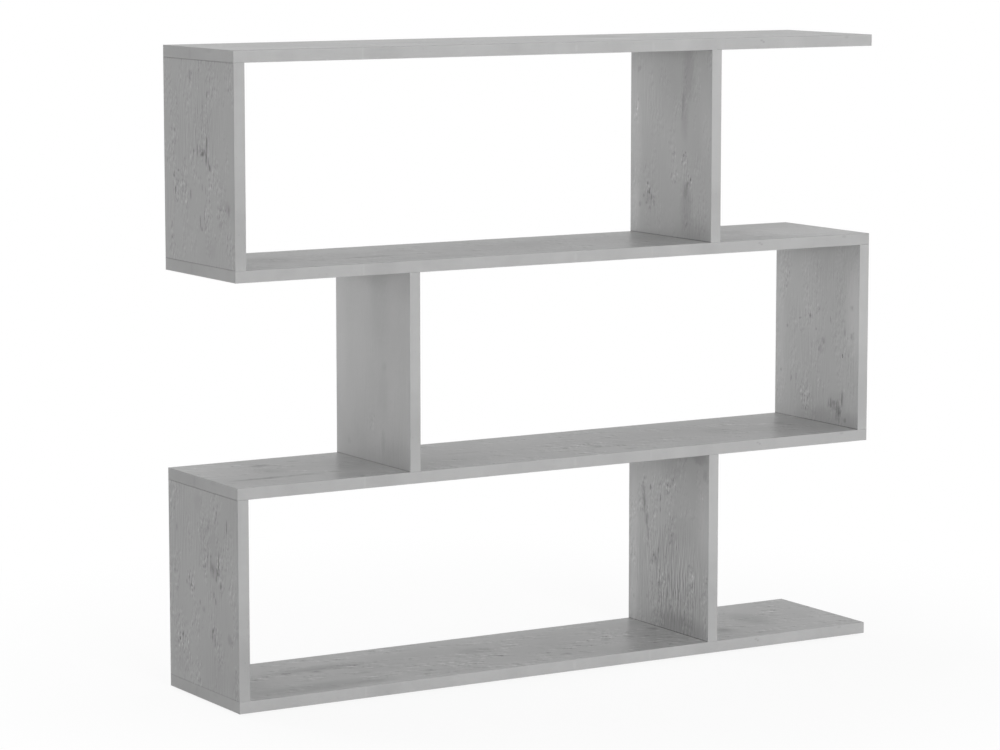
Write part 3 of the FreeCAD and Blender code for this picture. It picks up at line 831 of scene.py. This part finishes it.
# cover caps: a domed moulded cap over every cam lock, on the right-hand faces of the uprights
coverCap = {  # metres, and each is an input of the caps' tree
    "radius": 0.0085,
    "thickness": 0.0012,
    "dome": 0.00030,  # how much lower the cap is at its rim
    "rimRound": 0.0008,
    "rimFrom": 0.35,  # share of the thickness where the rim starts to round off
    "gateDip": 0.00015,  # small dip in the middle, where the mould was filled
    "gateRadius": 0.0011,
    "gateFrom": 0.3,  # shares of that radius over which the dip runs out
    "gateTo": 1.2,
    "plugLength": 0.0078,
    "plugWidth": 0.0016,
    "plugDepth": 0.0019,
    "sides": 64,
    "rimSteps": 6,
    "ringSteps": 8,
}
capCrease = radians(50)  # edges turned by more than this stay crisp
tierUprights = {
    "bottom": ("bottom_left_side", "bottom_right_divider"),
    "middle": ("middle_left_divider", "middle_right_side"),
    "top": ("top_left_side", "top_right_divider"),
}


def capLid(begin, size):  # a disc bent into a dome, with a rounded rim and a dip in the middle
    radius, thickness = size["radius"], size["thickness"]
    sockets = {
        "Vertices": size["sides"], "Side Segments": size["rimSteps"], "Fill Segments": size["ringSteps"],
        "Radius": radius, "Depth": thickness,
    }
    disc = begin.node("GeometryNodeMeshCylinder", {"fill_type": "TRIANGLE_FAN"}, sockets, "Mesh")
    here = begin.node("GeometryNodeInputPosition")
    x, y, z = [separate(here, axis) for axis in "XYZ"]
    reach = (x * x + y * y) ** 0.5 / radius
    rise = z / thickness + 0.5
    bend = ease(rise, size["rimFrom"], 1.0)
    shrink = 1 - size["rimRound"] / radius * bend * bend
    gate = ease(reach * radius / size["gateRadius"], size["gateFrom"], size["gateTo"])
    dip = size["gateDip"] * (1 - gate)
    top = rise * (thickness - size["dome"] * reach * reach - dip)
    moved = begin.node("ShaderNodeCombineXYZ", None, {0: x * shrink, 1: y * shrink, 2: top})
    return begin.node("GeometryNodeSetPosition", None, {"Geometry": disc, "Position": moved})


def plugBar(begin, length, width, depth):  # one bar of the crossed plug, below the cap
    across = begin.node("ShaderNodeCombineXYZ", None, {0: length, 1: width, 2: depth})
    bar = begin.node("GeometryNodeMeshCube", None, {"Size": across}, "Mesh")
    drop = begin.node("ShaderNodeCombineXYZ", None, {2: depth * -0.5})
    return begin.node("GeometryNodeTransform", None, {"Geometry": bar, "Translation": drop})


def capTree(cap, material):  # a cap on every point that it is given, facing right
    tree = bpy.data.node_groups.new("coverCapRow", "GeometryNodeTree")
    tree.is_modifier = True
    tree.interface.new_socket("Geometry", in_out="INPUT", socket_type="NodeSocketGeometry")
    for name, value in cap.items():
        kind = "NodeSocketInt" if isinstance(value, int) else "NodeSocketFloat"
        tree.interface.new_socket(name, in_out="INPUT", socket_type=kind)
    tree.interface.new_socket("Geometry", in_out="OUTPUT", socket_type="NodeSocketGeometry")
    begin = Wire(tree)
    inlet = tree.nodes.new("NodeGroupInput")
    size = {socket.name: Wire(tree, socket) for socket in inlet.outputs if socket.name}

    joined = tree.nodes.new("GeometryNodeJoinGeometry")
    for part in (
        capLid(begin, size),
        plugBar(begin, size["plugLength"], size["plugWidth"], size["plugDepth"]),
        plugBar(begin, size["plugWidth"], size["plugLength"], size["plugDepth"]),
    ):
        tree.links.new(part.socket, joined.inputs[0])
    whole = Wire(tree, joined.outputs[0])
    facing = begin.node("GeometryNodeTransform", None, {"Geometry": whole, "Rotation": (0, pi / 2, 0)})
    row = begin.node("GeometryNodeInstanceOnPoints", None, {"Points": size["Geometry"], "Instance": facing})
    solid = begin.node("GeometryNodeRealizeInstances", None, {"Geometry": row})
    smooth = begin.node("GeometryNodeSetShadeSmooth", None, {"Geometry": solid})
    finished = begin.node("GeometryNodeSetMaterial", None, {"Geometry": smooth, "Material": material})
    outlet = tree.nodes.new("NodeGroupOutput")
    tree.links.new(finished.socket, outlet.inputs[0])
    return tree


def capPlaces(tier, radius):  # on the uprights' right-hand faces, where the CAD caps are
    low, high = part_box(f"{tier}_tier_cover_caps")
    faces = [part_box(upright)[1].x for upright in tierUprights[tier]]
    depths = (low.y + radius, high.y - radius)
    heights = (low.z + radius, high.z - radius)
    return [(x, y, z) for x in faces for y in depths for z in heights]


def addCaps(tier, tree, cap):
    name = f"{tier}_tier_moulded_caps"
    mesh = bpy.data.meshes.new(name)
    mesh.from_pydata(capPlaces(tier, cap["radius"]), [], [])
    piece = bpy.data.objects.new(name, mesh)
    scene.collection.objects.link(piece)
    modifier = piece.modifiers.new("caps", "NODES")
    modifier.node_group = tree
    for item in tree.interface.items_tree:
        if item.in_out == "INPUT" and item.name in cap:
            modifier[item.identifier] = cap[item.name]
    made = bpy.data.meshes.new_from_object(piece.evaluated_get(bpy.context.evaluated_depsgraph_get()))
    made.set_sharp_from_angle(angle=capCrease)
    piece.modifiers.clear()
    piece.data = made
    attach(piece, "root")
    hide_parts(f"{tier}_tier_cover_caps")
    return piece


capMaker = capTree(coverCap, finishes["capPlastic"])
for tier in tiers:
    piece = addCaps(tier, capMaker, coverCap)
    print("caps pressed in:", piece.name, len(piece.data.polygons), "faces")
